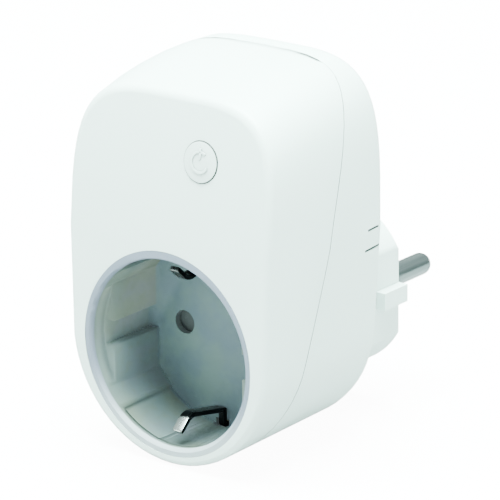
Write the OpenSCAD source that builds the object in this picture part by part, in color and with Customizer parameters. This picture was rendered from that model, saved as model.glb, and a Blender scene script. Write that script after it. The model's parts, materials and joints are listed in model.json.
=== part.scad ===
// Plug-in power meter: a smart adapter that plugs into a wall socket and carries a socket of its own.
// Shapes are drawn with Y running from the front face (0) to the wall and Z up from the socket's
// centre. place() then moves them so that the origin is the middle of the plug's engagement face.

/* [Body] */
// Width at the front edge
front_width = 50.7; // [48:0.1:54]
// Width at the rear edge
rear_width = 51.6; // [48:0.1:56]
// How far the sides and the top swell between front and rear
swell = 1.5; // [0:0.1:3]
// Height of the widest line above the socket's centre
shoulder_z = 22.4; // [18:0.1:26]
// Height of the crown above the widest line, at the front
crown_front = 30.3; // [28:0.1:33]
// Height of the crown above the widest line, at the rear
crown_rear = 34.2; // [31:0.1:37]
// Squareness of the crown, as the power of its superellipse
crown_power = 4; // [3:0.1:6]
// Radius of the round bottom, at the front
bottom_r_front = 24.9; // [24.5:0.1:26]
// Radius of the round bottom, at the rear
bottom_r_rear = 24.5; // [24:0.1:26]
// Height of the round bottom's centre above the socket's centre
bottom_z = 1.6; // [0:0.1:2]
// Depth from the front face to the rear face
body_depth = 38.7; // [37:0.1:42]
// Rounding of the front edge
front_round = 1.3; // [0.8:0.1:2]
// Rounding of the rear edge
rear_round = 3.5; // [2:0.1:5]
// Radius at which the front face leans back above the socket
lean_radius = 243; // [200:1:400]
// Height above the socket's centre where the lean begins
lean_start = 4.9; // [2:0.1:10]
// Wall thickness of both covers
wall = 1.8; // [1.5:0.1:2.2]
// Gap between the two covers at the parting line
parting_gap = 0.2; // [0.1:0.05:0.3]

/* [Socket] */
// Inner radius of the socket recess
recess_r = 19.5; // [19.5:0.1:20]
// Depth of the socket recess
recess_depth = 17.5; // [17.5:0.1:18.5]
// Outer radius of the translucent liner
liner_r = 21.2; // [21:0.05:21.3]
// Thickness of the liner's floor
liner_floor = 1.5; // [1.2:0.1:2]
// Half the distance between the two guide pads
pad_x = 16.4; // [16.2:0.1:17]
// Depth at which the guide pads begin
pad_start = 3.6; // [2:0.1:6]
// Width of the groove in each guide pad
pad_groove_w = 5.3; // [5:0.1:6]
// Radius of a pin aperture
aperture_r = 2.5; // [2.45:0.05:2.8]
// Width of an earth clip
clip_w = 2.4; // [2:0.1:3]
// Thickness of an earth clip
clip_t = 1; // [0.6:0.1:1]
// Half the distance between the two earth clips at their bend
clip_bend_z = 14.4; // [13.5:0.1:15]

/* [Plug] */
// Length of the plug body behind the rear face
boss_length = 17.5; // [17:0.1:19]
// Radius of the plug body
boss_r = 18.5; // [18:0.1:18.5]
// Half the distance between the flats of the plug body
boss_flat_x = 16.1; // [15.8:0.1:16.4]
// Height of the plug's axis above the socket's axis
plug_z = 1.25; // [0:0.05:2]
// Distance between pin centres, in the plug and in the socket
pin_pitch = 19; // [19:0.1:19.2]
// Pin radius
pin_r = 2.4; // [2.35:0.05:2.45]
// Pin length from the engagement face
pin_length = 19; // [18.5:0.1:19.5]

/* [Button and shutter] */
// Radius of the button
button_r = 4.1; // [4:0.05:5]
// Gap around the button
button_gap = 0.15; // [0.1:0.05:0.3]
// Distance of the button to the right of the middle
button_x = 7.7; // [5:0.1:9]
// Height of the button above the socket's centre
button_z = 40.6; // [38:0.1:42]
// Button travel
button_travel = 0.5; // [0.3:0.1:0.6]
// Angle that opens the shutter
shutter_angle = 36; // [34:1:40]
// Radius of the shutter disc
shutter_r = 13; // [12.8:0.1:13]

/* [Hidden] */

pin_x = pin_pitch / 2;
plug_y = body_depth + boss_length;
floor_y = recess_depth + liner_floor;
inner_rear_y = body_depth - wall;
ring_steps = 64;
hole_fn = 48;
fine_fn = 96;

// Parting line in the side view, as the control points of one cubic curve: [y, z]
parting = [[33.5, 58.5], [17.5, 42], [19.5, 12], [6, -25]];
parting_steps = 20;

// Screw posts: [x, z] of the right-hand ones, and where the covers' halves of each meet
upper_post = [18.2, 44];
lower_post = [18.3, 18];
upper_post_y = 24.4;
lower_post_y = 17.2;
front_post_r = 2.6;
rear_post_r = 2.9;
screw_r = 1.2;
screw_head_r = 2.2;
screw_well_r = 2.35;
upper_seat_y = 29.5;
lower_seat_y = 25.5;

// Vent slots in each side of the rear cover: height and both ends, [z, y, y]
vents = [[18.5, 30.7, 36.4], [22.7, 31.4, 35.4]];
vent_h = 0.5;

// Contact carrier and what surrounds it
carrier_r = 14.2;
carrier_end_y = 36.4;
carrier_flange_y = 24.2;
carrier_flange_t = 1.6;
carrier_flange_r = 17.2;
shutter_t = 1.2;
shutter_y = floor_y + 0.3;
shutter_seat_y = shutter_y + shutter_t + 0.3;
shutter_post_r = 1.5;
spring_pocket_r = 3.7;
spring_pocket_y = shutter_seat_y + 2.6;
contact_bore_r = 3.5;
contact_outer_r = 3.1;
contact_inner_r = 2.35;
contact_start_y = 22;
contact_end_y = 34.5;
contact_tail_y = 37.8;
socket_post_orbit = 19.3;
socket_post_r = 1.4;
earth_ring_r = [14.5, 16.9];
earth_ring_y = 22.8;
strip_t = 0.8;
tab_z = 14.9;
clip_root_z = 19.8;
clip_pivot_y = 17.1;
pocket_half_angle = 42;
pocket_r = 20.1;
slot_r = 20.6;
riser_w = 1.3;

// Boards
main_board_y = 28;
main_board_t = 1.6;
main_board_box = [[-19, 22.6], [19, 51]];
control_board_t = 1.2;
control_board_y = 6.2;
led_board_y = 20.8;
led_board_t = 0.8;
bar_z = 12.7;
bar_w = 3;
bar_y = 47.4;
shank_r = 2.75;
plunger_end_y = 4.9;

face_slope = (button_z - lean_start) / lean_radius;
face_tilt = atan(face_slope);
face_y = lean(button_z);

// ---- helpers ----

module place() { translate([0, -plug_y, -plug_z]) children(); }

// Turns a shape drawn along Z so that it runs along Y from y0
module along_y(y0 = 0, x = 0, z = 0) { translate([x, y0, z]) rotate([-90, 0, 0]) children(); }

module rod(r, y0, y1, x = 0, z = 0) { along_y(y0, x, z) cylinder(r = r, h = y1 - y0, $fn = hole_fn); }

module tube(r_out, r_in, y0, y1, x = 0, z = 0) {
    difference() {
        rod(r_out, y0, y1, x, z);
        rod(r_in, y0 - 1, y1 + 1, x, z);
    }
}

module block(low, high) { translate(low) cube(high - low); }

// Extrudes an outline drawn as [y, z] along X, centred on x
module side_profile(width, x = 0) {
    translate([x - width / 2, 0, 0]) rotate([90, 0, 90]) linear_extrude(width) children();
}

// A flat strip bent along a [y, z] path, as one outline of constant thickness
module strip_profile(path, t) {
    for (i = [0 : len(path) - 2]) {
        step = path[i + 1] - path[i];
        translate(path[i]) rotate(atan2(step[1], step[0])) translate([0, -t / 2]) square([norm(step), t]);
    }
    for (i = [1 : len(path) - 2]) translate(path[i]) circle(r = t / 2, $fn = 24);
}

module both_sides() {
    children();
    mirror([1, 0, 0]) children();
}

module above_and_below() {
    children();
    mirror([0, 0, 1]) children();
}

// The button and the control board lie square to the leaning front face
module on_face() { translate([button_x, face_y, button_z]) rotate([-face_tilt, 0, 0]) children(); }

// ---- body surface ----

function lean(z) = z > lean_start ? pow(z - lean_start, 2) / (2 * lean_radius) : 0;
function signed_pow(v, e) = sign(v) * pow(abs(v), e);
function mix(a, b, t) = a + (b - a) * t;

// One closed ring of body points at depth y, drawn in by inset
function body_ring(y, inset) =
    let (s = y / body_depth, bulge = 4 * swell * s * (1 - s))
    let (w = mix(front_width, rear_width, s) / 2 + bulge - inset)
    let (up = mix(crown_front, crown_rear, s) + bulge - inset)
    let (r = mix(bottom_r_front, bottom_r_rear, s) - inset)
    [for (i = [0 : ring_steps - 1])
        let (a = 360 * i / ring_steps)
        let (x = a <= 180 ? w * signed_pow(cos(a), 2 / crown_power) : r * cos(a))
        let (z = a <= 180 ? shoulder_z + up * signed_pow(sin(a), 2 / crown_power) : bottom_z + r * sin(a))
        [x, y + lean(z) * (1 - s), z]];

// Depths and insets of the rings of a rounded body whose wall is drawn in by inset
function body_stations(inset, front_r, rear_r) = concat(
    [for (a = [0, 22, 45, 67]) [inset + front_r * (1 - cos(a)), inset + front_r * (1 - sin(a))]],
    [for (t = [0 : 0.2 : 1]) [mix(inset + front_r, body_depth - inset - rear_r, t), inset]],
    [for (a = [22, 45, 67, 90])
        [body_depth - inset - rear_r * (1 - sin(a)), inset + rear_r * (1 - cos(a))]]);

// A solid skin over a list of rings that all have the same number of points
module skin(rings) {
    n = len(rings[0]);
    last = (len(rings) - 1) * n;
    sides = [for (k = [0 : len(rings) - 2]) for (i = [0 : n - 1])
        let (j = (i + 1) % n)
        each [[k * n + i, k * n + j, (k + 1) * n + j], [k * n + i, (k + 1) * n + j, (k + 1) * n + i]]];
    start_cap = [[for (i = [n - 1 : -1 : 0]) i]];
    end_cap = [[for (i = [0 : n - 1]) last + i]];
    polyhedron([for (ring = rings) each ring], concat(sides, start_cap, end_cap), convexity = 6);
}

module body_solid(inset, front_r, rear_r) {
    hull() skin([for (s = body_stations(inset, front_r, rear_r)) body_ring(s[0], s[1])]);
}

function cubic(p, t) = pow(1 - t, 3) * p[0] + 3 * t * pow(1 - t, 2) * p[1]
    + 3 * t * t * (1 - t) * p[2] + pow(t, 3) * p[3];

// Everything in front of the parting line, moved towards the wall by shift
module ahead_of_parting(shift) {
    side_profile(80) translate([shift, 0])
        polygon(concat([for (i = [0 : parting_steps]) cubic(parting, i / parting_steps)],
            [[-10, parting[3][1] - 10], [-10, parting[0][1] + 10], [parting[0][0], parting[0][1] + 10]]));
}

module at_posts(post) { both_sides() translate([post[0], 0, post[1]]) children(); }

// ---- covers ----

module front_cover() {
    color([0.87, 0.91, 0.9]) place() difference() {
        union() {
            difference() {
                intersection() {
                    body_solid(0, front_round, rear_round);
                    ahead_of_parting(-parting_gap / 2);
                }
                body_solid(wall, 0.4, 1.5);
            }
            at_posts(upper_post) rod(front_post_r, 4, upper_post_y);
            at_posts(lower_post) rod(front_post_r, 1.2, lower_post_y);
        }
        rod(liner_r + 0.05, -2, 6);
        on_face() rod(button_r + button_gap, -3, 4);
        at_posts(upper_post) rod(screw_r + 0.05, 12, upper_post_y + 1);
        at_posts(lower_post) rod(screw_r + 0.05, 8, lower_post_y + 1);
    }
}

module boss_outline(r, flat_x) {
    intersection() {
        circle(r = r, $fn = fine_fn);
        square([2 * flat_x, 4 * r], center = true);
    }
}

module rear_cover() {
    rib_h = 3.7;
    rib_x = 18.4;
    rib_y = 48.3;
    color([0.89, 0.93, 0.92]) place() difference() {
        union() {
            difference() {
                body_solid(0, front_round, rear_round);
                ahead_of_parting(parting_gap / 2);
                body_solid(wall, 0.4, 1.5);
            }
            along_y(body_depth - 1, 0, plug_z) linear_extrude(boss_length + 1)
                boss_outline(boss_r, boss_flat_x);
            both_sides() block([boss_flat_x - 0.5, rib_y, plug_z - rib_h / 2],
                [rib_x, plug_y, plug_z + rib_h / 2]);
            at_posts(upper_post) rod(rear_post_r, upper_post_y + 0.1, body_depth - 0.9);
            at_posts(lower_post) rod(rear_post_r, lower_post_y + 0.1, body_depth - 0.9);
        }
        along_y(inner_rear_y - 1, 0, plug_z) linear_extrude(boss_length + 1)
            boss_outline(boss_r - wall, boss_flat_x - wall);
        both_sides() rod(shank_r + 0.05, plug_y - wall - 1, plug_y + 1, pin_x, plug_z);
        rod(2.95, plug_y - wall - 1, plug_y + 1, 0, plug_z + 10);
        // Grooves and slots for the side earth contacts
        for (side = [-1, 1]) translate([0, 0, plug_z + side * boss_r]) {
            block([-2.1, 41.9, -0.8], [2.1, plug_y - 1, 0.8]);
            block([-2.1, 42.8, -3], [2.1, 44.1, 3]);
        }
        both_sides() for (v = vents) block([22.4, v[1], v[0] - vent_h / 2], [30, v[2], v[0] + vent_h / 2]);
        at_posts(upper_post) rod(screw_well_r, upper_seat_y, body_depth + 1);
        at_posts(lower_post) rod(screw_well_r, lower_seat_y, body_depth + 1);
        at_posts(upper_post) rod(screw_r + 0.2, upper_post_y - 1, body_depth);
        at_posts(lower_post) rod(screw_r + 0.2, lower_post_y - 1, body_depth);
    }
}

module housing_screw(seat_y, length) {
    difference() {
        union() {
            rod(screw_head_r, seat_y + 0.05, seat_y + 1.8);
            rod(screw_r, seat_y - length, seat_y + 0.1);
        }
        for (a = [0, 90]) translate([0, seat_y + 2, 0]) rotate([0, a, 0])
            block([-1.4, -1.2, -0.25], [1.4, 1, 0.25]);
    }
}

module housing_screws() {
    color([0.62, 0.63, 0.65]) place() {
        at_posts(upper_post) housing_screw(upper_seat_y, 13);
        at_posts(lower_post) housing_screw(lower_seat_y, 13);
    }
}

// ---- socket ----

// The space behind the leaning front face, a hair below its surface
module behind_front_face(drop) {
    translate([0, drop, 0]) {
        translate([-50, lean_radius, lean_start]) rotate([0, 90, 0])
            cylinder(r = lean_radius, h = 100, $fn = 360);
        block([-50, 0, -60], [50, 60, lean_start]);
    }
}

module at_socket_posts() {
    for (a = [45 : 90 : 315]) rotate([0, a, 0]) translate([socket_post_orbit, 0, 0]) children();
}

// A ring sector about the Y axis, centred on the angle middle, counted from +X towards +Z
module sector(r_in, r_out, y0, y1, middle, half_angle) {
    along_y(y0) rotate([0, 0, -middle - half_angle])
        rotate_extrude(angle = 2 * half_angle, $fn = fine_fn)
            translate([r_in, 0]) square([r_out - r_in, y1 - y0]);
}

module socket_liner() {
    lip_chamfer = 0.8;
    color([0.62, 0.7, 0.74]) place() difference() {
        union() {
            intersection() {
                along_y() rotate_extrude($fn = fine_fn) polygon([
                    [0, recess_depth], [recess_r, recess_depth], [recess_r, lip_chamfer],
                    [recess_r + lip_chamfer, 0], [liner_r, 0], [liner_r, floor_y], [0, floor_y]]);
                behind_front_face(0.1);
            }
            difference() {
                both_sides() intersection() {
                    rod(recess_r + 0.5, pad_start, recess_depth + 0.5);
                    block([pad_x, 0, -15], [25, 30, 15]);
                }
                block([-18.7, 0, -pad_groove_w / 2], [18.7, recess_depth, pad_groove_w / 2]);
            }
            at_socket_posts() rod(socket_post_r, floor_y - 0.5, carrier_flange_y - 0.05);
        }
        for (middle = [90, -90])
            sector(recess_r - 0.5, pocket_r, 2, recess_depth, middle, pocket_half_angle);
        // Slots that the earth clips stand in
        above_and_below() block([-1.7, recess_depth - 1.2, 18.9], [1.7, floor_y + 1, slot_r]);
        both_sides() rod(aperture_r, recess_depth - 1, floor_y + 1, pin_x);
        at_socket_posts() rod(0.75, floor_y + 0.5, carrier_flange_y + 1);
    }
}

module socket_screws() {
    seat = carrier_flange_y + carrier_flange_t;
    color([0.6, 0.61, 0.63]) place() at_socket_posts() difference() {
        union() {
            rod(1.5, seat + 0.05, seat + 1.2);
            rod(0.7, floor_y + 0.8, seat + 0.1);
        }
        for (a = [0, 90]) translate([0, seat + 1.4, 0]) rotate([0, a, 0])
            block([-1, -0.8, -0.2], [1, 1, 0.2]);
    }
}

module led_board() {
    color([0.16, 0.36, 0.24]) place() difference() {
        tube(21, 15.2, led_board_y, led_board_y + led_board_t);
        at_socket_posts() rod(socket_post_r + 0.2, led_board_y - 1, led_board_y + 2);
        above_and_below() block([-1.8, led_board_y - 1, 18.8], [1.8, led_board_y + 2, 22]);
    }
}

module ring_leds() {
    color([0.95, 0.93, 0.75]) place() for (a = [22.5 : 45 : 360]) rotate([0, a, 0])
        difference() {
            block([19.3, led_board_y - 0.75, -1.4], [20.6, led_board_y, 1.4]);
            block([19.6, led_board_y - 0.8, -0.9], [20.3, led_board_y - 0.6, 0.9]);
        }
}

module led_ribbon() {
    color([0.85, 0.84, 0.8]) place() side_profile(5, 6)
        strip_profile([[21.65, 18.6], [28.8, 18.6], [28.8, 22.5]], 0.3);
}

module contact_carrier() {
    color([0.93, 0.93, 0.9]) place() difference() {
        union() {
            rod(carrier_r, floor_y + 0.1, carrier_end_y);
            rod(carrier_flange_r, carrier_flange_y, carrier_flange_y + carrier_flange_t);
            at_socket_posts() {
                rod(2.1, carrier_flange_y, carrier_flange_y + carrier_flange_t);
                block([-5, carrier_flange_y, -1.5], [0, carrier_flange_y + carrier_flange_t, 1.5]);
            }
        }
        tube(shutter_r + 0.3, shutter_post_r, floor_y - 1, shutter_seat_y);
        tube(spring_pocket_r, shutter_post_r, shutter_seat_y - 0.1, spring_pocket_y);
        both_sides() rod(contact_bore_r, shutter_seat_y - 0.1, carrier_end_y + 1, pin_x);
        at_socket_posts() rod(0.85, carrier_flange_y - 1, carrier_flange_y + 3);
        // Passages for the earth tabs through the flange
        above_and_below() block([-1.6, 23, carrier_r + 0.1], [1.6, 27, 18]);
    }
}

module shutter_disc() {
    window_r = 3;
    color([0.42, 0.45, 0.47]) place() difference() {
        rod(shutter_r, shutter_y, shutter_y + shutter_t);
        rod(shutter_post_r + 0.08, shutter_y - 1, shutter_y + 3);
        // Windows that come behind the apertures when the disc has turned
        for (side = [0, 180]) rotate([0, -shutter_angle + side, 0])
            rod(window_r, shutter_y - 1, shutter_y + 3, pin_x);
        // Notch for the spring's leg
        rod(0.4, shutter_y - 1, shutter_y + 3, 0, 4.6);
    }
}

module shutter_spring() {
    coil_r = 2.6;
    wire_r = 0.25;
    turns = 3;
    steps = 14 * turns;
    sides = 8;
    color([0.7, 0.71, 0.73]) place() skin([for (k = [0 : steps])
        let (a = 360 * turns * k / steps)
        let (y = mix(shutter_seat_y + 0.1 + wire_r, spring_pocket_y - 0.1 - wire_r, k / steps))
        [for (i = [0 : sides - 1])
            let (b = -360 * i / sides, r = coil_r + wire_r * cos(b))
            [r * cos(a), y + wire_r * sin(b), r * sin(a)]]]);
}

// ---- contacts ----

// A sprung sleeve for one pin, split along its length, with a tail that rises behind the pin's tip
module contact(reach) {
    tail_z = [contact_inner_r + 0.1, contact_outer_r - 0.05];
    difference() {
        tube(contact_outer_r, contact_inner_r, contact_start_y, contact_end_y);
        block([-0.5, contact_start_y - 1, -5], [0.5, contact_end_y - 2.5, 5]);
    }
    block([-1.5, contact_end_y - 1.5, tail_z[0]], [1.5, contact_tail_y + strip_t, tail_z[1]]);
    block([-1.5, contact_tail_y, tail_z[0]], [1.5, contact_tail_y + strip_t, reach]);
}

module line_contact() {
    color([0.8, 0.66, 0.36]) place() translate([-pin_x, 0, 0]) mirror([0, 0, 1]) contact(8);
}

module neutral_contact() {
    color([0.8, 0.66, 0.36]) place() translate([pin_x, 0, 0]) contact(bar_z - strip_t / 2 - 0.05);
}

module earth_ring() {
    color([0.75, 0.72, 0.62]) place() {
        tube(earth_ring_r[1], earth_ring_r[0], earth_ring_y, earth_ring_y + strip_t);
        above_and_below() {
            side_profile(clip_w) strip_profile([[18.3, clip_root_z],
                [earth_ring_y + strip_t / 2, clip_root_z], [earth_ring_y + strip_t / 2, 15.5]], strip_t);
            block([-1.2, earth_ring_y + 0.1, tab_z - 0.35], [1.2, 42.7, tab_z + 0.35]);
        }
    }
}

// One sprung earth clip, drawn at the top of the recess: a narrow riser and a wide bent tongue
module earth_clip() {
    riser_y = clip_pivot_y - 0.2;
    side_profile(riser_w, (clip_w - riser_w) / 2)
        strip_profile([[18.05, clip_root_z], [riser_y, clip_root_z], [riser_y, 16.4]], clip_t);
    side_profile(clip_w)
        strip_profile([[riser_y, 16.5], [6.3, clip_bend_z], [3.1, 17.3]], clip_t);
}

module earth_clip_top() { color([0.2, 0.21, 0.22]) place() earth_clip(); }

module earth_clip_bottom() { color([0.2, 0.21, 0.22]) place() mirror([0, 0, 1]) earth_clip(); }

// ---- plug ----

// A pin on a thicker shank, whose shoulder is flush with the plug's face
module plug_pin() {
    rod(shank_r, plug_y - wall - 3.6, plug_y);
    rod(pin_r, plug_y - 0.1, plug_y + pin_length - pin_r);
    along_y(plug_y + pin_length - pin_r) sphere(r = pin_r, $fn = hole_fn);
    rod(3.6, plug_y - wall - 1.5, plug_y - wall - 0.05);
    rod(1.6, 45.5, plug_y - wall - 3.5);
}

module live_pin() { color([0.7, 0.72, 0.73]) place() translate([-pin_x, 0, plug_z]) plug_pin(); }

module neutral_pin() { color([0.7, 0.72, 0.73]) place() translate([pin_x, 0, plug_z]) plug_pin(); }

module pin_holder() {
    color([0.9, 0.9, 0.86]) place() difference() {
        along_y(50.4, 0, plug_z) linear_extrude(2.3)
            boss_outline(boss_r - wall - 0.2, boss_flat_x - wall - 0.2);
        both_sides() rod(shank_r + 0.1, 50, 53, pin_x, plug_z);
        rod(3.1, 50, 53, 0, plug_z + 10);
    }
}

// A strip in the groove of the plug body, and its foot that reaches in to the earth tab
module plug_earth_contact(edge, tab_face) {
    block([-2, 42, edge - 0.7], [2, plug_y - 1.1, edge]);
    block([-2, 43, tab_face - 0.6], [2, 43.8, edge - 0.6]);
}

module plug_earth_contacts() {
    color([0.72, 0.74, 0.75]) place() {
        plug_earth_contact(boss_r + plug_z, tab_z + 0.35);
        mirror([0, 0, 1]) plug_earth_contact(boss_r - plug_z, tab_z + 0.35);
    }
}

module earth_sleeve() {
    color([0.8, 0.66, 0.36]) place() {
        tube(2.9, 2.45, 46, plug_y - 0.05, 0, plug_z + 10);
        block([-1, 43.9, 12.9], [1, 46.1, 13.6]);
        block([-1, 43.9, 12.9], [1, 44.6, tab_z - 0.4]);
    }
}

// ---- power path ----

module bar() {
    difference() {
        union() {
            rod(3.1, bar_y - strip_t / 2, bar_y + strip_t / 2, 0, plug_z);
            side_profile(bar_w) strip_profile([[bar_y, plug_z + 2], [bar_y, bar_z], [33.6, bar_z],
                [33.6, 24.6], [29.65, 24.6]], strip_t);
        }
        rod(1.65, bar_y - 1, bar_y + 1, 0, plug_z);
    }
}

module live_bar() { color([0.78, 0.5, 0.32]) place() translate([-pin_x, 0, 0]) bar(); }

module neutral_bar() { color([0.78, 0.5, 0.32]) place() translate([pin_x, 0, 0]) bar(); }

// Insulated wire from the line contact up to the rear of the main board
wire_route = [[-6.6, 38.2, -7.2], [-5.5, 39.6, -5], [-4.6, 41, 0], [-4.4, 41.4, 6], [-4.4, 40.2, 11],
    [-4.4, 37.6, 14.6], [-4.4, 35, 17.6], [-4.4, 33.6, 21.5], [-4.4, 32, 26], [-4.4, 30.9, 29]];

function unit(v) = v / norm(v);

module load_wire() {
    wire_r = 1.05;
    sides = 12;
    last = len(wire_route) - 1;
    color([0.45, 0.28, 0.2]) place() skin([for (k = [0 : last])
        let (t = unit(wire_route[min(k + 1, last)] - wire_route[max(k - 1, 0)]))
        let (n = unit(cross(t, [1, 0, 0])), b = cross(t, n))
        [for (i = [0 : sides - 1])
            let (a = -360 * i / sides)
            wire_route[k] + wire_r * (n * cos(a) + b * sin(a))]]);
}

// ---- button ----

module power_mark() {
    ring_r = [1.75, 2.3];
    gap_half = 38;
    along_y() rotate([0, 0, -90 + gap_half]) rotate_extrude(angle = 360 - 2 * gap_half, $fn = hole_fn)
        translate([ring_r[0], 0]) square([ring_r[1] - ring_r[0], 0.6]);
    block([-0.28, 0, 0.5], [0.28, 0.6, 2.75]);
}

module button_cap() {
    dome_r = 45;
    crown = 0.4;
    color([0.9, 0.93, 0.93]) place() on_face() union() {
        intersection() {
            rod(button_r, -crown, 2.1);
            along_y(dome_r - crown) sphere(r = dome_r, $fn = 180);
        }
        rod(5.3, 2.05, 2.7);
        rod(1.2, 2.6, 3.3);
        translate([0, -crown - 0.12, 0]) power_mark();
    }
}

module switch_body() {
    color([0.12, 0.12, 0.13]) place() on_face() difference() {
        block([-2.3, 4.2, -2.3], [2.3, control_board_y, 2.3]);
        rod(1.25, 4, plunger_end_y + button_travel + 0.3);
    }
}

module switch_plunger() { color([0.75, 0.7, 0.6]) place() on_face() rod(1.15, 3.4, plunger_end_y); }

// ---- control board ----

module control_board() {
    color([0.13, 0.33, 0.22]) place() difference() {
        on_face() block([-24, control_board_y, -15.5], [11.5, control_board_y + control_board_t, 8.3]);
        at_posts(upper_post) rod(front_post_r + 0.4, 2, 20);
    }
}

module radio_shield() {
    color([0.74, 0.75, 0.77]) place() on_face() union() {
        block([-17, 4.5, -11], [-5, control_board_y, 4]);
        translate([-11, 4.5, -3.5]) rod(2.2, -0.15, 0.1);
    }
}

module antenna() {
    pitch = 1.4;
    line_w = 0.6;
    low = -14;
    high = -9;
    color([0.8, 0.68, 0.4]) place() on_face() translate([5, control_board_y - 0.25, 0]) {
        for (k = [0 : 3]) block([pitch * k, 0, low], [pitch * k + line_w, 0.25, high]);
        for (k = [0 : 2]) let (z = k % 2 == 0 ? low : high - line_w)
            block([pitch * k, 0, z], [pitch * (k + 1) + line_w, 0.25, z + line_w]);
    }
}

// A chip of size w by h by t with two rows of legs, standing on a board face at y
module chip(x, z, w, h, t, y, legs) {
    leg_pitch = h / legs;
    translate([x, y, z]) {
        block([-w / 2, 0.1, -h / 2], [w / 2, t, h / 2]);
        for (side = [-1, 1]) for (k = [0 : legs - 1])
            translate([side * w / 2, 0, (k + 0.5) * leg_pitch - h / 2])
                block([-0.6, 0, -0.2], [0.6, 0.25, 0.2]);
    }
}

module meter_chip() {
    color([0.1, 0.1, 0.11]) place() on_face()
        chip(-1, -7, 4, 6, 1.3, control_board_y + control_board_t, 8);
}

module crystal() {
    color([0.78, 0.79, 0.8]) place() on_face()
        block([-21.5, control_board_y - 1.1, -6], [-18.5, control_board_y, -1]);
}

module board_header() {
    color([0.12, 0.12, 0.12]) place() union() {
        block([9, 9.4, 24.9], [18.5, 12, 27.3]);
        block([9, 25.4, 24.9], [18.5, main_board_y, 27.3]);
        for (k = [0 : 3]) block([10 + 2.3 * k, 11.9, 25.8], [10.6 + 2.3 * k, 25.5, 26.4]);
    }
}

// ---- main board ----

module main_board() {
    low = main_board_box[0];
    high = main_board_box[1];
    color([0.13, 0.33, 0.22]) place() difference() {
        block([low[0], main_board_y, low[1]], [high[0], main_board_y + main_board_t, high[1]]);
        at_posts(upper_post) rod(rear_post_r + 0.3, main_board_y - 1, main_board_y + 3);
    }
}

module relay() {
    color([0.13, 0.15, 0.17]) place() difference() {
        block([-15.2, 12.3, 22.9], [-2.5, main_board_y, 50.4]);
        for (z = [25.5, 47.8]) rod(0.6, 12, 12.7, -8.85, z);
    }
}

module shunt() {
    color([0.72, 0.6, 0.5]) place() union() {
        rear = main_board_y + main_board_t;
        block([-9, rear + 1.6, 34], [9, rear + 2.4, 38]);
        both_sides() block([6.6, rear, 34], [9, rear + 1.7, 38]);
    }
}

module x2_capacitor() {
    color([0.86, 0.82, 0.62]) place() union() {
        block([13.2, 15.6, 28.2], [18.6, 27.6, 40.8]);
        for (z = [30, 39]) rod(0.35, 27.5, main_board_y, 15.9, z);
    }
}

module electrolytic_capacitors() {
    color([0.16, 0.17, 0.22]) place() for (z = [31.7, 40.5]) translate([8.2, 0, z]) difference() {
        union() {
            rod(4, 15.5, 16.7);
            rod(3.8, 16.6, 17.3);
            rod(4, 17.2, main_board_y);
        }
        for (a = [0, 90]) rotate([0, a, 0]) block([-2.4, 15.4, -0.15], [2.4, 15.8, 0.15]);
    }
}

module varistor() {
    color([0.15, 0.28, 0.55]) place() union() {
        translate([-1.2, 21.3, 43.2]) rotate([0, 90, 0]) cylinder(r = 4.9, h = 3.2, $fn = hole_fn);
        for (z = [41, 45.4]) rod(0.4, 25, main_board_y, 0.4, z);
    }
}

module thermal_fuse() {
    color([0.85, 0.85, 0.82]) place() union() {
        translate([0.3, 24.8, 26.5]) cylinder(r = 1.7, h = 8, $fn = hole_fn);
        translate([0.3, 24.8, 25]) cylinder(r = 0.4, h = 11, $fn = 24);
        for (z = [25.4, 35.6]) rod(0.4, 24.8, main_board_y, 0.3, z);
    }
}

module choke() {
    color([0.3, 0.22, 0.16]) place() translate([8.4, 0, 47.9]) union() {
        rod(3, 17.5, 19);
        rod(2.5, 18.9, 26.1);
        rod(3, 26, main_board_y);
    }
}

module power_chips() {
    rear = main_board_y + main_board_t;
    color([0.1, 0.1, 0.11]) place() {
        chip(-9, 45.5, 4.6, 5.6, 1.6, rear, 4);
        chip(8.5, 45, 4, 5, 1.5, rear, 4);
    }
}

module insulating_sheet() { color([0.95, 0.94, 0.88]) place() block([-15, 35.6, 26.2], [15, 36, 46]); }

front_cover();
rear_cover();
housing_screws();
socket_liner();
socket_screws();
led_board();
ring_leds();
led_ribbon();
contact_carrier();
shutter_disc();
shutter_spring();
line_contact();
neutral_contact();
earth_ring();
earth_clip_top();
earth_clip_bottom();
live_pin();
neutral_pin();
pin_holder();
plug_earth_contacts();
earth_sleeve();
live_bar();
neutral_bar();
load_wire();
button_cap();
switch_body();
switch_plunger();
control_board();
radio_shield();
antenna();
meter_chip();
crystal();
board_header();
main_board();
relay();
shunt();
x2_capacitor();
electrolytic_capacitors();
varistor();
thermal_fuse();
choke();
power_chips();
insulating_sheet();
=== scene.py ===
import json
import math

import bpy
from mathutils import Matrix, Vector


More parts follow.
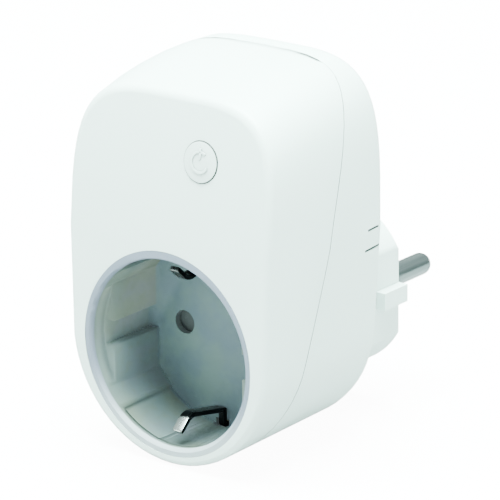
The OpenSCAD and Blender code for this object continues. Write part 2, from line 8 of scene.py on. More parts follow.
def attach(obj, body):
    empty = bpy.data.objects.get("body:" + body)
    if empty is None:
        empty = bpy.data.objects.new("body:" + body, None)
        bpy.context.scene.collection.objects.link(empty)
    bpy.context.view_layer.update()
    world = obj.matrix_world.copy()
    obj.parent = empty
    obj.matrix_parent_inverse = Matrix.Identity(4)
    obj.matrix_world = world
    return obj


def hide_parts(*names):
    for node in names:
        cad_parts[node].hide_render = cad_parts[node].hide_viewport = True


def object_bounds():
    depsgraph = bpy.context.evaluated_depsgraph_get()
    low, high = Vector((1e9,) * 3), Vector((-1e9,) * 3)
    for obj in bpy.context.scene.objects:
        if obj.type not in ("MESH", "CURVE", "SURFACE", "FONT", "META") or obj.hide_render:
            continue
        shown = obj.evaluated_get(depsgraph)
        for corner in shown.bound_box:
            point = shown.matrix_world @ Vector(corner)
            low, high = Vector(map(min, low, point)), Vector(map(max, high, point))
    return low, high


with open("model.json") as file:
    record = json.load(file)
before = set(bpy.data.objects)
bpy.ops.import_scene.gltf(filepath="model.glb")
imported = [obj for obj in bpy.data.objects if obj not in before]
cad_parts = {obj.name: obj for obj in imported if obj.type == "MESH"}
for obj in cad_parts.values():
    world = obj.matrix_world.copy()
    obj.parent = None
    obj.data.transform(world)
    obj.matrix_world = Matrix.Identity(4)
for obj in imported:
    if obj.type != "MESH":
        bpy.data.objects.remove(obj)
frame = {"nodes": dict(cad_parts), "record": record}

cad_low, cad_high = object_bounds()
NODES = frame["nodes"]
BODIES = frame["record"]["behaviour"]["bodies"]
BODY_OF = {node: body for body, members in BODIES.items() for node in members}
SLOT_OF = {s["node"]: s["material_slot"] for s in frame["record"]["subparts"]}
MM = 0.001
# Closer than this, two points are the same point
SAME_PLACE = 1e-6

# The meter is drawn in millimetres from the socket's centre on the front face,
# with Y towards the wall and Z up. The frame's origin is on the plug's back face.
FACE_TO_ORIGIN = 0.0562
SOCKET_BELOW_ORIGIN = 0.00125

# The front face is upright up to LEAN_START, and above it curves back on a wide arc
LEAN_START = 4.9
LEAN_RADIUS = 243.0


def at(x, y, z):
    """A point drawn in millimetres, in the frame's metres."""
    return Vector((x * MM, y * MM - FACE_TO_ORIGIN, z * MM - SOCKET_BELOW_ORIGIN))


# ---------------------------------------------------------------- shader maths


class Value:
    """One output socket that Python's operators work on."""

    def __init__(self, tree, socket):
        self.tree = tree
        self.socket = socket

    def _maths(self, operation, first, second):
        return self.tree.node("ShaderNodeMath", {"operation": operation}, {0: first, 1: second})

    def __add__(self, other):
        return self._maths("ADD", self, other)

    def __sub__(self, other):
        return self._maths("SUBTRACT", self, other)

    def __rsub__(self, other):
        return self._maths("SUBTRACT", other, self)

    def __mul__(self, other):
        return self._maths("MULTIPLY", self, other)

    def __truediv__(self, other):
        return self._maths("DIVIDE", self, other)

    def __rtruediv__(self, other):
        return self._maths("DIVIDE", other, self)

    __radd__ = __add__
    __rmul__ = __mul__


class Tree:
    """An empty node tree with its output node, ready to be filled."""

    def __init__(self, node_tree, output_kind):
        self.node_tree = node_tree
        self.node_tree.nodes.clear()
        self.surface = self.node_tree.nodes.new(output_kind).inputs["Surface"]

    def node(self, kind, settings=None, sockets=None, output=0):
        """Adds a node: its settings first, then a value or a link for each socket named."""
        made = self.node_tree.nodes.new(kind)
        for key, value in (settings or {}).items():
            setattr(made, key, value)
        for key, value in (sockets or {}).items():
            self.feed(made.inputs[key], value)
        return Value(self, made.outputs[output])

    def feed(self, socket, value):
        if isinstance(value, Value):
            self.node_tree.links.new(value.socket, socket)
        else:
            socket.default_value = value


class Finish(Tree):
    """A node material that starts with a Principled shader."""

    def __init__(self, name, **constants):
        self.material = bpy.data.materials.new(name)
        self.material.use_nodes = True
        super().__init__(self.material.node_tree, "ShaderNodeOutputMaterial")
        self.shader = self.node_tree.nodes.new("ShaderNodeBsdfPrincipled")
        self.node_tree.links.new(self.shader.outputs[0], self.surface)
        self.place = self.node("ShaderNodeTexCoord", output="Object")
        self.set(**constants)

    def set(self, **sockets):
        """Feeds the shader's own sockets, named with underscores for spaces."""
        for key, value in sockets.items():
            self.feed(self.shader.inputs[key.replace("_", " ")], value)

    def axis(self, name):
        return self.node("ShaderNodeSeparateXYZ", {}, {0: self.place}, output=name)

    def behind_face(self):
        """Millimetres behind the flat of the front face."""
        return (self.axis("Y") + FACE_TO_ORIGIN) / MM

    def noise(self, scale, detail=2.0, roughness=0.5, stretch=None):
        where = self.place
        if stretch:
            where = self.node("ShaderNodeMapping", {}, {"Vector": where, "Scale": stretch})
        sockets = {"Vector": where, "Scale": scale, "Detail": detail, "Roughness": roughness}
        return self.node("ShaderNodeTexNoise", {}, sockets, output="Fac")

    def mix(self, factor, first, second):
        sockets = {0: factor, 6: first, 7: second}
        return self.node("ShaderNodeMix", {"data_type": "RGBA"}, sockets, output=2)

    def bump(self, height, distance, strength):
        sockets = {"Height": height, "Distance": distance, "Strength": strength}
        return self.node("ShaderNodeBump", {}, sockets)

    def openness(self, reach):
        """1 on open faces, towards 0 down narrow gaps and in corners."""
        settings = {"samples": 8}
        return self.node("ShaderNodeAmbientOcclusion", settings, {"Distance": reach}, output="AO")

    def ramp(self, value, low, high):
        """0 at low, 1 at high, and smooth between; low may be the larger number."""
        settings = {"interpolation_type": "SMOOTHSTEP"}
        sockets = {"Value": value, "From Min": low, "From Max": high}
        return self.node("ShaderNodeMapRange", settings, sockets)


def opaque(colour):
    return (*colour[:3], 1.0)


def tint(colour, factor):
    return opaque([min(1.0, c * factor) for c in colour[:3]])


# ---------------------------------------------------------------- finishes

BLACK = (0.0, 0.0, 0.0, 1.0)
WHITE = (1.0, 1.0, 1.0, 1.0)

COOL_WHITE = (0.680, 0.800, 0.770, 1.0)
COOL_WHITE_LOW = (0.640, 0.768, 0.735, 1.0)
# Painted shade that ambient occlusion lays down the joints, slots and corners of the shells and
# round the button's mark
PAINTED_GAP_SHADE = (0.030, 0.036, 0.036, 1.0)
PAINTED_BUTTON_SHADE = (0.20, 0.24, 0.235, 1.0)

# Painted shade on the walls of the joint between the covers, with painted light at its top
PAINTED_JOINT_SHADE_PALE = (0.100, 0.115, 0.113, 1.0)
PAINTED_JOINT_SHADE_DEEP = (0.070, 0.082, 0.080, 1.0)
PAINTED_JOINT_TOP_LIGHT = (0.46, 0.53, 0.51, 1.0)
# Painted shade on the walls of the gap round the button
PAINTED_RING_SHADE_PALE = (0.040, 0.047, 0.046, 1.0)
PAINTED_RING_SHADE_DEEP = (0.028, 0.034, 0.033, 1.0)

SHUTTER_LIGHT = (0.060, 0.070, 0.073, 1.0)
SHUTTER_DARK = (0.038, 0.045, 0.048, 1.0)

# The liner's smoky colours, from the wall to the floor and the lip; the lip is paler partly as
# painted light, the mouth and under-lip colours are painted light, the aperture and corner colours
# painted shade, and the glow colours a painted glow
WALL_OLIVE = (0.086, 0.102, 0.078, 1.0)
WALL_SLATE = (0.068, 0.102, 0.108, 1.0)
WALL_VIOLET = (0.090, 0.094, 0.128, 1.0)
WALL_MOSS = (0.070, 0.085, 0.060, 1.0)
WALL_MOUTH_PAINTED_LIGHT = (0.14, 0.185, 0.155, 1.0)
FLOOR_BLUE = (0.058, 0.096, 0.122, 1.0)
FLOOR_GREEN = (0.076, 0.124, 0.122, 1.0)
LIP_DARK = (0.125, 0.150, 0.205, 1.0)
LIP_LIGHT = (0.160, 0.180, 0.235, 1.0)
LIP_UNDER_PAINTED_LIGHT = (0.38, 0.43, 0.45, 1.0)
APERTURE_PAINTED_SHADE = (0.035, 0.043, 0.046, 1.0)
LINER_CORNER_PAINTED_SHADE = (0.045, 0.060, 0.065, 1.0)
PAINTED_GLOW_GREEN = (0.030, 0.044, 0.040, 1.0)
PAINTED_GLOW_GREY = (0.038, 0.046, 0.050, 1.0)

# Clip steel: a near-black skin that is partly a painted dark reflection, and a tip face made
# bright by wear and a painted highlight
STEEL_DARK = (0.003, 0.004, 0.0045, 1.0)
STEEL_LIGHT = (0.020, 0.023, 0.024, 1.0)
WEAR_AND_HIGHLIGHT_DARK = (0.26, 0.27, 0.27, 1.0)
WEAR_AND_HIGHLIGHT_LIGHT = (0.62, 0.65, 0.64, 1.0)

NICKEL_DARK = (0.10, 0.125, 0.128, 1.0)
NICKEL_LIGHT = (0.30, 0.345, 0.35, 1.0)
NICKEL_STREAK = (0.06, 0.075, 0.078, 1.0)

METALS = ("chrome", "brushed_steel", "brass", "aluminium")
METAL_ROUGHNESS = {"chrome": 0.25, "brass": 0.32}
BARE_METAL_ROUGHNESS = 0.36
MOULDED_ROUGHNESS = {
    "gloss_plastic": 0.28,
    "matte_plastic": 0.5,
    "painted_metal": 0.35,
    "ceramic": 0.6,
    "paper": 0.8,
}
PLAIN_ROUGHNESS = 0.5


def moulded_plastic(name, light, dark, roughness):
    """Fine spark-eroded texture with a faint cloud in the colour and the gloss."""
    f = Finish(name, Specular_IOR_Level=0.5, IOR=1.5)
    cloud = f.noise(60.0, 3.0)
    speck = f.noise(9000.0, 2.0, 0.6)
    f.set(
        Base_Color=f.mix(cloud, dark, light),
        Roughness=roughness + (speck - 0.5) * 0.12 + (cloud - 0.5) * 0.06,
        Normal=f.bump(speck, 0.006 * MM, 0.6),
    )
    return f.material


def brushed_metal(name, light, dark, roughness):
    """Rolled or drawn metal with fine streaks."""
    f = Finish(name)
    streak = f.noise(900.0, 3.0, 0.6, (1.0, 40.0, 1.0))
    cloud = f.noise(90.0, 2.0)
    f.set(
        Base_Color=f.mix(streak * 0.6 + cloud * 0.4, dark, light),
        Metallic=1.0,
        Roughness=roughness + (streak - 0.5) * 0.15,
        Normal=f.bump(streak, 0.004 * MM, 0.5),
    )
    return f.material


def class_finish(entry):
    """A finish for the parts inside, from their material's class and colour."""
    kind = entry["class"]
    name = entry["slot"]
    colour = entry["base_color"]
    if kind in METALS:
        roughness = METAL_ROUGHNESS.get(kind, BARE_METAL_ROUGHNESS)
        return brushed_metal(name, tint(colour, 1.1), tint(colour, 0.8), roughness)
    roughness = MOULDED_ROUGHNESS.get(kind, PLAIN_ROUGHNESS)
    return moulded_plastic(name, tint(colour, 1.06), tint(colour, 0.9), roughness)


def shell_plastic(name, light, dark, gap, roughness, reach=1.1 * MM, closed=0.30, open_at=0.62):
    """Satin cool white mouldings, with painted shade: grey where the light does not get down a
    joint or a slot.
    """
    f = Finish(name, Specular_IOR_Level=0.45, IOR=1.5)
    cloud = f.noise(38.0, 3.0)
    drift = f.noise(9.0, 1.0)
    speck = f.noise(7000.0, 2.0, 0.6)
    skin = f.mix(drift * 0.35, f.mix(cloud, dark, light), tint(light, 0.97))
    # Painted shade: the skin turns to the gap colour where ambient occlusion finds a joint, slot
    # or corner
    depth = f.ramp(f.openness(reach), closed, open_at)
    f.set(
        Base_Color=f.mix(depth, gap, skin),
        Roughness=roughness + (speck - 0.5) * 0.14 + (cloud - 0.5) * 0.05,
        Normal=f.bump(speck, 0.008 * MM, 0.5),
    )
    return f.material


def front_plastic(name):
    return shell_plastic(name, COOL_WHITE, COOL_WHITE_LOW, PAINTED_GAP_SHADE, 0.36)


def rear_plastic(name):
    return shell_plastic(name, COOL_WHITE, COOL_WHITE_LOW, PAINTED_GAP_SHADE, 0.42)


def button_plastic(name):
    """The shells' plastic, a shade darker and glossier, with painted shade, a soft grey round the
    mark.
    """
    light = tint(COOL_WHITE, 0.93)
    dark = tint(COOL_WHITE_LOW, 0.91)
    return shell_plastic(name, light, dark, PAINTED_BUTTON_SHADE, 0.30, 0.7 * MM, 0.40, 1.0)


def shutter_plastic(name):
    return moulded_plastic(name, SHUTTER_LIGHT, SHUTTER_DARK, 0.55)


def frosted_liner(name):
    """Smoky translucent plastic: paler at the lip, partly its own lilac tone and partly painted
    light, clouded with olive and violet down the wall. Painted light also makes the wall lighter
    towards the mouth and the lower lip lighter, and painted shade darkens the corners and the
    apertures.

    The faint emission is a painted glow for the daylight that leaks through the wall from behind.
    """
    f = Finish(name, Specular_IOR_Level=0.5, IOR=1.49, Emission_Strength=1.0)
    height = f.axis("Z") - (LEAN_START * MM - SOCKET_BELOW_ORIGIN)
    above_bend = f.node("ShaderNodeMath", {"operation": "MAXIMUM"}, {0: height, 1: 0.0})
    lean = above_bend * above_bend / (2.0 * LEAN_RADIUS * MM)
    depth = f.behind_face() - lean / MM
    wide = f.noise(55.0, 2.0, 0.5)
    patch = f.noise(120.0, 3.0, 0.55, (1.0, 0.6, 1.0))
    mottle = f.noise(420.0, 3.0, 0.6)
    fine = f.noise(1500.0, 3.0, 0.6)

    wall = f.mix(f.ramp(wide, 0.38, 0.62), WALL_OLIVE, WALL_SLATE)
    wall = f.mix(f.ramp(patch, 0.42, 0.68) * 0.5, wall, WALL_VIOLET)
    wall = f.mix(f.ramp(mottle, 0.45, 0.70) * 0.35, wall, WALL_MOSS)
    # Painted light: the wall is lighter towards the mouth
    wall = f.mix(f.ramp(depth, 8.0, 1.0) * 0.45, wall, WALL_MOUTH_PAINTED_LIGHT)
    bottom = f.mix(f.ramp(patch, 0.35, 0.65), FLOOR_BLUE, FLOOR_GREEN)
    inside = f.mix(f.ramp(depth, 16.2, 17.45), wall, bottom)
    # The lip's own lilac tone, paler than the wall partly as painted light
    lip = f.mix(patch, LIP_DARK, LIP_LIGHT)
    # Painted light: the lower lip is lighter
    lip = f.mix(f.ramp(f.axis("Z"), -6.0 * MM, -20.0 * MM) * 0.75, lip, LIP_UNDER_PAINTED_LIGHT)
    skin = f.mix(f.ramp(depth, 0.7, 1.05), lip, inside)
    # Painted shade: near-black down the apertures
    skin = f.mix(f.ramp(depth, 17.55, 17.7), skin, APERTURE_PAINTED_SHADE)
    # Painted shade in the corners, from ambient occlusion
    corner = f.ramp(f.openness(1.6 * MM), 0.0, 0.35)
    f.set(
        Base_Color=f.mix(corner, LINER_CORNER_PAINTED_SHADE, skin),
        # Painted glow: this emission stands in for the daylight leaking through the wall
        Emission_Color=f.mix(wide, PAINTED_GLOW_GREEN, PAINTED_GLOW_GREY),
        Roughness=0.58 + (patch - 0.5) * 0.14 + (fine - 0.5) * 0.08,
        Normal=f.bump(fine, 0.010 * MM, 0.5),
    )
    return f.material


def worn_steel_with_painted_reflections(name):
    """Spring strip with a near-black polished skin, in part a painted dark reflection; the tip
    face where a plug slides over it is bright by wear and by a painted highlight, stronger on the
    lower clip.
    """
    f = Finish(name, Metallic=1.0)
    grain = f.noise(1600.0, 3.0, 0.6, (1.0, 0.06, 0.06))
    cloud = f.noise(260.0, 2.0)
    normal = f.node("ShaderNodeTexCoord", output="Normal")
    facing = f.node("ShaderNodeSeparateXYZ", {}, {0: normal}, output="Y")
    skin = f.mix(grain * 0.5 + cloud * 0.5, STEEL_DARK, STEEL_LIGHT)
    wear_and_highlight = f.mix(grain, WEAR_AND_HIGHLIGHT_DARK, WEAR_AND_HIGHLIGHT_LIGHT)
    # Painted highlight with wear: the tip face that looks forward is made bright, more so on the
    # lower clip
    near_tip = f.ramp(f.behind_face() + (cloud - 0.5) * 0.9, 5.6, 5.1)
    towards_plug = f.ramp(facing, -0.45, -0.65)
    lower_clip_painted_light = f.ramp(f.axis("Z"), 10.0 * MM, -10.0 * MM) * 0.75 + 0.25
    wear_and_highlight_mask = near_tip * towards_plug * lower_clip_painted_light
    f.set(
        Base_Color=f.mix(wear_and_highlight_mask, skin, wear_and_highlight),
        Roughness=0.30 + (grain - 0.5) * 0.14 - wear_and_highlight_mask * 0.06,
        Normal=f.bump(grain, 0.004 * MM, 0.5),
    )
    return f.material


def nickel_plate(name):
    """Drawn nickel plate with lengthwise streaks and a faint smoky tone."""
    f = Finish(name, Metallic=1.0)
    streak = f.noise(1100.0, 4.0, 0.62, (1.0, 0.03, 1.0))
    broad = f.noise(260.0, 2.0, 0.5, (1.0, 0.05, 1.0))
    scuff = f.noise(420.0, 3.0, 0.6, (1.0, 1.0, 1.0))
    tone = f.mix(f.ramp(broad, 0.35, 0.65), NICKEL_DARK, NICKEL_LIGHT)
    tone = f.mix(f.ramp(streak, 0.45, 0.75) * 0.5, tone, NICKEL_STREAK)
    f.set(
        Base_Color=tone,
        Roughness=0.24 + (streak - 0.5) * 0.16 + (scuff - 0.5) * 0.08,
        Normal=f.bump(streak, 0.005 * MM, 0.5),
    )
    return f.material


def shaded_joint(name):
    """Painted shade for the inside of the joint, a dull grey, with painted light that makes it
    paler at the top where the light falls into it.
    """
    f = Finish(name, Specular_IOR_Level=0.5, IOR=1.5)
    cloud = f.noise(60.0, 3.0)
    side = f.mix(cloud, PAINTED_JOINT_SHADE_DEEP, PAINTED_JOINT_SHADE_PALE)
    f.set(
        Base_Color=f.mix(f.ramp(f.axis("Z"), 50.0 * MM, 53.5 * MM), side, PAINTED_JOINT_TOP_LIGHT),
        Roughness=0.7 + (cloud - 0.5) * 0.06,
    )
    return f.material


SPECIAL = {
    "front_shell": front_plastic,
    "rear_shell": rear_plastic,
    "button": button_plastic,
    "shutter": shutter_plastic,
    "liner": frosted_liner,
    "clip_metal": worn_steel_with_painted_reflections,
    "nickel": nickel_plate,
}
FINISHES = {}
for entry in frame["record"]["materials"]:
    slot = entry["slot"]
    FINISHES[slot] = SPECIAL[slot](slot) if slot in SPECIAL else class_finish(entry)
for name, node in NODES.items():
    node.data.materials.clear()
    node.data.materials.append(FINISHES[SLOT_OF[name]])

# Painted shade for the joint between the covers and for the gap round the button
SHADED_JOINT = shaded_joint("shaded_joint")
PAINTED_RING_SHADE = moulded_plastic("shaded_ring", PAINTED_RING_SHADE_PALE, PAINTED_RING_SHADE_DEEP, 0.7)

# ---------------------------------------------------------------- hand tools


def deselect_all():
    for obj in list(bpy.context.selected_objects):
        obj.select_set(False)


def only(obj):
    """Selects one object and makes it the active one."""
    deselect_all()
    obj.select_set(True)
    bpy.context.view_layer.objects.active = obj


def pick(obj, kind, test):
    """In edit mode, selects the vertices, edges or faces that pass a test."""
    bpy.ops.mesh.select_mode(type=kind)
    bpy.ops.mesh.select_all(action="DESELECT")
    bpy.ops.object.mode_set(mode="OBJECT")
    mesh = obj.data
    if kind == "VERT":
        for v in mesh.vertices:
            v.select = test(v.co)
    elif kind == "EDGE":
        for e in mesh.edges:
            first, second = e.vertices
            e.select = test(mesh.vertices[first].co, mesh.vertices[second].co)
    else:
        for p in mesh.polygons:
            p.select = test(p.center, p.normal)
    bpy.ops.object.mode_set(mode="EDIT")


def finish_modifier(obj, kind, **settings):
    """Adds a modifier and applies it."""
    modifier = obj.modifiers.new(kind.lower(), kind)
    for key, value in settings.items():
        setattr(modifier, key, value)
    only(obj)
    bpy.ops.object.modifier_apply(modifier=modifier.name)


def soften_edges(obj, width, segments=3):
    """Rounds the edges that turn by more than 50 degrees."""
    finish_modifier(obj, "BEVEL", width=width, segments=segments, limit_method="ANGLE",
                    angle_limit=math.radians(50.0))


def rest_at_origin(obj):
    """Moves the object's place and size into its mesh."""
    only(obj)
    bpy.ops.object.transform_apply(location=True, rotation=True, scale=True)


def join_into(first, *others):
    only(first)
    for other in others:
        other.select_set(True)
    bpy.ops.object.join()
    return first


def stand_for(piece, node):
    """Puts a new piece in the place of a packed one."""
    piece.data.materials.clear()
    piece.data.materials.append(FINISHES[SLOT_OF[node]])
    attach(piece, BODY_OF[node])
    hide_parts(node)


def shade_faces(obj, material, test):
    """Gives the faces that pass a test a second finish, here painted shade on the walls of narrow
    joints and gaps.
    """
    obj.data.materials.append(material)
    index = len(obj.data.materials) - 1
    for face in obj.data.polygons:
        if test(face.center, face.normal):
            face.material_index = index


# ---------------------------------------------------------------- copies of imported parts

DOUBLES_WITHIN = 0.002 * MM
FLAT_WITHIN = math.radians(0.4)
COPIES = {
    "front_shell": "front_cover",
    "rear_shell": "rear_cover",
    "glowing_liner": "socket_liner",
    "live_plug_pin": "live_pin",
    "neutral_plug_pin": "neutral_pin",
    "side_earth_strips": "plug_earth_contacts",
    "earth_pin_sleeve": "earth_sleeve",
    "shutter_plate": "shutter_disc",
    "cover_screws": "housing_screws",
}

# The curved joint between the covers, as the handles of its curve: (depth, height)
JOINT_HANDLES = ((33.5, 58.5), (17.5, 42.0), (19.5, 12.0), (6.0, -25.0))
JOINT_STEPS = 20
JOINT_REACH = 0.2 * MM
TONGUE_SETBACK = 0.45 * MM
TONGUE_HEIGHT = 0.17 * MM


def refined_copy(name, node):
    """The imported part's own shape with joined vertices and smooth shading."""
    mesh = NODES[node].data.copy()
    obj = bpy.data.objects.new(name, mesh)
    bpy.context.scene.collection.objects.link(obj)
    only(obj)
    bpy.ops.object.mode_set(mode="EDIT")
    bpy.ops.mesh.select_all(action="SELECT")
    bpy.ops.mesh.remove_doubles(threshold=DOUBLES_WITHIN)
    bpy.ops.mesh.dissolve_limited(angle_limit=FLAT_WITHIN)
    bpy.ops.object.mode_set(mode="OBJECT")
    bpy.ops.object.shade_smooth_by_angle(angle=math.radians(35.0))
    finish_modifier(obj, "WEIGHTED_NORMAL", keep_sharp=True, weight=100)
    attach(obj, BODY_OF[node])
    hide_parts(node)
    return obj


def joint_curve():
    """Points along the joint's curve, in the frame's depth and height."""
    a, b, c, d = (Vector(p) for p in JOINT_HANDLES)
    points = []
    for i in range(JOINT_STEPS + 1):
        t = i / JOINT_STEPS
        u = 1.0 - t
        p = a * u ** 3 + b * (3 * u * u * t) + c * (3 * u * t * t) + d * t ** 3
        points.append(Vector(at(0.0, p.x, p.y)[1:]))
    return points


JOINT = joint_curve()


def on_joint(centre, normal):
    """True on the cut faces of a cover, which run straight across it."""
    if abs(normal.x) > 0.02:
        return False
    here = Vector((centre.y, centre.z))
    for start, end in zip(JOINT, JOINT[1:]):
        along = end - start
        t = max(0.0, min(1.0, (here - start).dot(along) / along.length_squared))
        if (start + along * t - here).length < JOINT_REACH:
            return True
    return False


def raise_tongue(obj, setback, height):
    """A low ridge along a cover's cut face, which closes the joint behind its visible edge."""
    only(obj)
    bpy.ops.object.mode_set(mode="EDIT")
    pick(obj, "FACE", on_joint)
    bpy.ops.mesh.inset(thickness=setback, use_boundary=True, use_even_offset=True)
    bpy.ops.mesh.extrude_region_shrink_fatten(TRANSFORM_OT_shrink_fatten={"value": height})
    bpy.ops.object.mode_set(mode="OBJECT")


copies = {name: refined_copy(name, node) for name, node in COPIES.items()}
# Painted shade on the cut faces of both covers, inside the joint
shade_faces(copies["front_shell"], SHADED_JOINT, on_joint)
shade_faces(copies["rear_shell"], SHADED_JOINT, on_joint)
raise_tongue(copies["rear_shell"], TONGUE_SETBACK, TONGUE_HEIGHT)

# ---------------------------------------------------------------- earth clips

# Folds of the upper clip's two strips, as (depth, height); the lower clip mirrors them
TONGUE_FOLDS = ((16.9, 16.5), (6.3, 14.4), (3.1, 17.3))
RISER_FOLDS = ((18.05, 19.8), (16.9, 19.8), (16.9, 16.2))
CLIP_SIDE = 1.2 * MM
RISER_SIDE = -0.1 * MM
CLIP_THICKNESS = 1.0 * MM
CLIP_EDGE = 0.16 * MM


def bent_strip(name, path, left, right, bend, tip_round):
    """A strip of sheet folded along (depth, height) points, with rounded bends and tip."""
    deselect_all()
    start = Vector((0.0, *path[0]))
    bpy.ops.mesh.primitive_plane_add(size=1.0, location=(0.0, 0.0, 0.0))
    strip = bpy.context.object
    strip.name = name
    bpy.ops.object.mode_set(mode="EDIT")
    bpy.ops.mesh.select_mode(type="VERT")
    bpy.ops.mesh.select_all(action="SELECT")
    bpy.ops.mesh.delete(type="ONLY_FACE")
    pick(strip, "VERT", lambda co: co.y > 0.0)
    bpy.ops.mesh.delete(type="VERT")
    bpy.ops.object.mode_set(mode="OBJECT")
    for vertex in strip.data.vertices:
        vertex.co = Vector((left if vertex.co.x < 0.0 else right, 0.0, 0.0)) + start
    bpy.ops.object.mode_set(mode="EDIT")
    bpy.ops.mesh.select_mode(type="EDGE")
    bpy.ops.mesh.select_all(action="SELECT")
    for here, there in zip(path, path[1:]):
        step = (0.0, there[0] - here[0], there[1] - here[1])
        bpy.ops.mesh.extrude_region_move(TRANSFORM_OT_translate={"value": step})

    def is_at(co, point):
        return abs(co.y - point[0]) < SAME_PLACE and abs(co.z - point[1]) < SAME_PLACE

    def is_fold(a, b):
        return any(is_at((a + b) / 2, point) for point in path[1:-1])

    pick(strip, "EDGE", is_fold)
    bpy.ops.mesh.bevel(offset=bend, segments=7, affect="EDGES")
    pick(strip, "VERT", lambda co: is_at(co, path[-1]))
    bpy.ops.mesh.bevel(offset=tip_round, segments=4, affect="VERTICES")
    bpy.ops.object.mode_set(mode="OBJECT")
    finish_modifier(strip, "SOLIDIFY", thickness=CLIP_THICKNESS, offset=0.0, use_even_offset=True)
    soften_edges(strip, CLIP_EDGE)
    bpy.ops.object.shade_smooth_by_angle(angle=math.radians(40.0))
    return strip


def earth_clip(name, node, side):
    """A sprung tongue on a narrow riser; side is 1 above the socket and -1 below."""

    def route(folds):
        return [tuple(at(0.0, depth, side * height)[1:]) for depth, height in folds]

    tongue = bent_strip(name, route(TONGUE_FOLDS), -CLIP_SIDE, CLIP_SIDE,
                        bend=1.3 * MM, tip_round=0.5 * MM)
    riser = bent_strip(name + "_riser", route(RISER_FOLDS), RISER_SIDE, CLIP_SIDE,
                       bend=0.45 * MM, tip_round=0.25 * MM)
    stand_for(join_into(tongue, riser), node)


earth_clip("upper_earth_tongue", "earth_clip_top", 1)
earth_clip("lower_earth_tongue", "earth_clip_bottom", -1)

# ---------------------------------------------------------------- button

BUTTON_X = 7.7
BUTTON_Z = 40.6
BUTTON_R = 4.1 * MM
CROWN = 0.4 * MM
DOME_R = 45.0 * MM
DOME_RINGS = 9
CAP_EDGE = 0.12 * MM
DISC_EDGE = 0.08 * MM
FLANGE_R = 5.3 * MM
STEM_R = 1.2 * MM

# Ends of the cap, the flange and the stem, from the front face inwards
CAP_BACK = -2.1 * MM
FLANGE_FRONT = -2.05 * MM
FLANGE_BACK = -2.7 * MM
STEM_FRONT = -2.6 * MM
STEM_BACK = -3.3 * MM

MARK_INNER = 1.75 * MM
MARK_OUTER = 2.3 * MM
MARK_HALF_GAP = math.radians(38.0)
MARK_FOOT = 0.1 * MM
MARK_TOP = CROWN + 0.16 * MM
MARK_EDGE = 0.07 * MM
BAR_WIDTH = 0.56 * MM
BAR_LENGTH = 2.25 * MM
BAR_CENTRE = 1.625 * MM


def dome_height(radius):
    return CROWN - radius * radius / (2.0 * DOME_R)


def turned_disc(name, radius, low, high, vertices=96):
    """A round blank from low to high along Z."""
    deselect_all()
    bpy.ops.mesh.primitive_cylinder_add(vertices=vertices, radius=radius, depth=high - low,
                                        location=(0.0, 0.0, (low + high) / 2))
    disc = bpy.context.object
    disc.name = name
    rest_at_origin(disc)
    return disc


def power_mark():
    """The raised on and off sign: a broken ring and a bar."""
    deselect_all()
    bpy.ops.mesh.primitive_plane_add(size=1.0, location=(0.0, 0.0, 0.0))
    ring = bpy.context.object
    ring.name = "power_ring"
    lead = Vector((math.sin(MARK_HALF_GAP), math.cos(MARK_HALF_GAP), 0.0))
    for vertex in ring.data.vertices:
        reach = MARK_INNER if vertex.co.x < 0.0 else MARK_OUTER
        height = MARK_FOOT if vertex.co.y < 0.0 else MARK_TOP
        vertex.co = lead * reach + Vector((0.0, 0.0, height))
    bpy.ops.object.mode_set(mode="EDIT")
    bpy.ops.mesh.select_all(action="SELECT")
    bpy.ops.mesh.spin(steps=56, angle=-(math.tau - 2.0 * MARK_HALF_GAP),
                      center=(0.0, 0.0, 0.0), axis=(0.0, 0.0, 1.0))
    bpy.ops.mesh.select_all(action="SELECT")
    bpy.ops.mesh.remove_doubles(threshold=SAME_PLACE)
    bpy.ops.mesh.normals_make_consistent(inside=False)
    bpy.ops.object.mode_set(mode="OBJECT")
    deselect_all()
    middle = (MARK_FOOT + MARK_TOP) / 2
    bpy.ops.mesh.primitive_cube_add(size=1.0, location=(0.0, BAR_CENTRE, middle),
                                    scale=(BAR_WIDTH, BAR_LENGTH, MARK_TOP - MARK_FOOT))
    bar = bpy.context.object
    rest_at_origin(bar)
    mark = join_into(ring, bar)
    soften_edges(mark, MARK_EDGE)
    return mark


def button_place():
    """The button's seat on the leaning face: its own Z points out of the face."""
    rise = BUTTON_Z - LEAN_START
    seat = at(BUTTON_X, rise ** 2 / (2.0 * LEAN_RADIUS), BUTTON_Z)
    tilt = math.atan(rise / LEAN_RADIUS)
    return Matrix.Translation(seat) @ Matrix.Rotation(math.radians(90.0) - tilt, 4, "X")


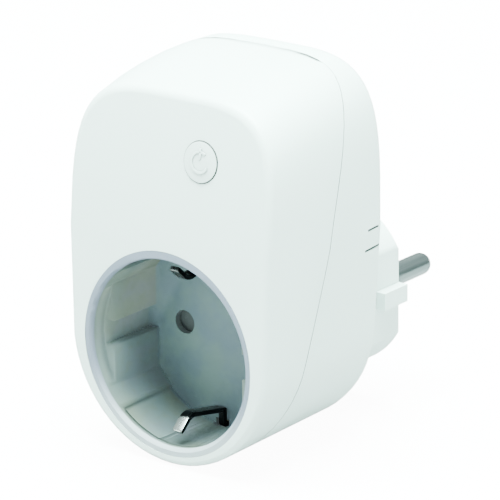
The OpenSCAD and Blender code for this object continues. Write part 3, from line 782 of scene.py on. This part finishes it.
def add_button():
    """A domed cap with a flange behind the cover and a stem that meets the switch."""
    cap = turned_disc("press_button", BUTTON_R, CAP_BACK, dome_height(BUTTON_R))
    bpy.ops.object.mode_set(mode="EDIT")
    pick(cap, "FACE", lambda centre, normal: normal.z > 0.9)
    step = BUTTON_R / (DOME_RINGS + 0.6)
    radius = BUTTON_R
    for _ in range(DOME_RINGS):
        bpy.ops.mesh.inset(thickness=step)
        rise = dome_height(radius - step) - dome_height(radius)
        bpy.ops.transform.translate(value=(0.0, 0.0, rise))
        radius -= step
    bpy.ops.object.mode_set(mode="OBJECT")
    soften_edges(cap, CAP_EDGE, segments=4)
    flange = turned_disc("flange", FLANGE_R, FLANGE_BACK, FLANGE_FRONT)
    soften_edges(flange, DISC_EDGE)
    stem = turned_disc("stem", STEM_R, STEM_BACK, STEM_FRONT, 48)
    soften_edges(stem, DISC_EDGE)
    button = join_into(cap, flange, stem, power_mark())
    place = button_place()
    button.matrix_world = place
    rest_at_origin(button)
    bpy.ops.object.shade_smooth_by_angle(angle=math.radians(38.0))
    stand_for(button, "button_cap")
    back = place.inverted()

    def on_ring(centre, normal):
        """True on the walls and softened edges either side of the gap round the cap."""
        local = back @ centre
        beside_gap = abs(math.hypot(local.x, local.y) - BUTTON_R) < 0.25 * MM
        return beside_gap and abs((back.to_3x3() @ normal).z) < 0.9

    # Painted shade on the walls either side of the gap round the cap
    shade_faces(button, PAINTED_RING_SHADE, on_ring)
    shade_faces(copies["front_shell"], PAINTED_RING_SHADE, on_ring)


add_button()

# ---------------------------------------------------------------- camera, floor and light

AZIMUTH = math.radians(38.60)
ELEVATION = math.radians(18.29)
ROLL = math.radians(-0.75)
LENS_MM = 239.5
DISTANCE = 0.664
AIM = at(5.7, 20.0, 17.7)
FLOOR_SIZE = 8.0
FLOOR_BELOW = 0.0002
FLOOR_GREY = (0.32, 0.32, 0.32, 1.0)
FLOOR_GLOW = 12.0
SURROUND = 1.15
STUDIO_TINT = (0.80, 1.0, 0.950)


def add_camera():
    back = Vector((
        math.sin(AZIMUTH) * math.cos(ELEVATION),
        -math.cos(AZIMUTH) * math.cos(ELEVATION),
        math.sin(ELEVATION),
    ))
    right = Vector((math.cos(AZIMUTH), math.sin(AZIMUTH), 0.0))
    up = back.cross(right)
    tilted_right = right * math.cos(ROLL) + up * math.sin(ROLL)
    tilted_up = up * math.cos(ROLL) - right * math.sin(ROLL)
    turn = Matrix((tilted_right, tilted_up, back)).transposed()
    data = bpy.data.cameras.new("camera")
    data.lens = LENS_MM
    data.sensor_width = 36.0
    data.clip_start = 0.01
    data.clip_end = 20.0
    camera = bpy.data.objects.new("camera", data)
    bpy.context.scene.collection.objects.link(camera)
    camera.rotation_mode = "QUATERNION"
    camera.location = AIM + back * DISTANCE
    camera.rotation_quaternion = turn.to_quaternion()
    bpy.context.scene.camera = camera


def add_floor():
    """A matt white sweep that glows where the lens sees it, as an over-lit studio floor does."""
    deselect_all()
    bpy.ops.mesh.primitive_plane_add(size=FLOOR_SIZE, location=(0.0, 0.0, cad_low.z - FLOOR_BELOW))
    floor = bpy.context.object
    floor.name = "floor"
    f = Finish("floor_white", Roughness=1.0, Base_Color=FLOOR_GREY, Emission_Strength=FLOOR_GLOW)
    seen = f.node("ShaderNodeLightPath", output="Is Camera Ray")
    f.set(Emission_Color=f.mix(seen, BLACK, WHITE))
    floor.data.materials.append(f.material)


def add_light(name, location, target, size, power):
    """A square soft box that faces its target."""
    data = bpy.data.lights.new(name, "AREA")
    data.shape = "SQUARE"
    data.size = size
    data.energy = power
    data.color = STUDIO_TINT
    lamp = bpy.data.objects.new(name, data)
    bpy.context.scene.collection.objects.link(lamp)
    lamp.location = location
    lamp.rotation_mode = "QUATERNION"
    lamp.rotation_quaternion = (Vector(target) - Vector(location)).to_track_quat("-Z", "Y")


def add_surround():
    """Even light from all round, and plain white where the lens sees past the floor."""
    world = bpy.data.worlds.new("studio")
    world.use_nodes = True
    studio = Tree(world.node_tree, "ShaderNodeOutputWorld")
    seen = studio.node("ShaderNodeLightPath", output="Is Camera Ray")
    light = {"Color": opaque(STUDIO_TINT), "Strength": SURROUND}
    ground = {"Color": WHITE, "Strength": FLOOR_GLOW}
    shaders = {
        0: seen,
        1: studio.node("ShaderNodeBackground", {}, light),
        2: studio.node("ShaderNodeBackground", {}, ground),
    }
    studio.feed(studio.surface, studio.node("ShaderNodeMixShader", {}, shaders))
    bpy.context.scene.world = world


add_camera()
add_floor()
add_light("overhead_box", (0.0, -0.10, 1.20), (0.0, -0.02, 0.0), 1.0, 250.0)
add_light("front_box", (-0.9, -1.5, 0.45), (0.0, -0.03, 0.01), 0.8, 20.0)
add_light("side_box", (1.6, -0.2, 0.5), (0.0, -0.03, 0.01), 0.8, 22.0)
add_surround()
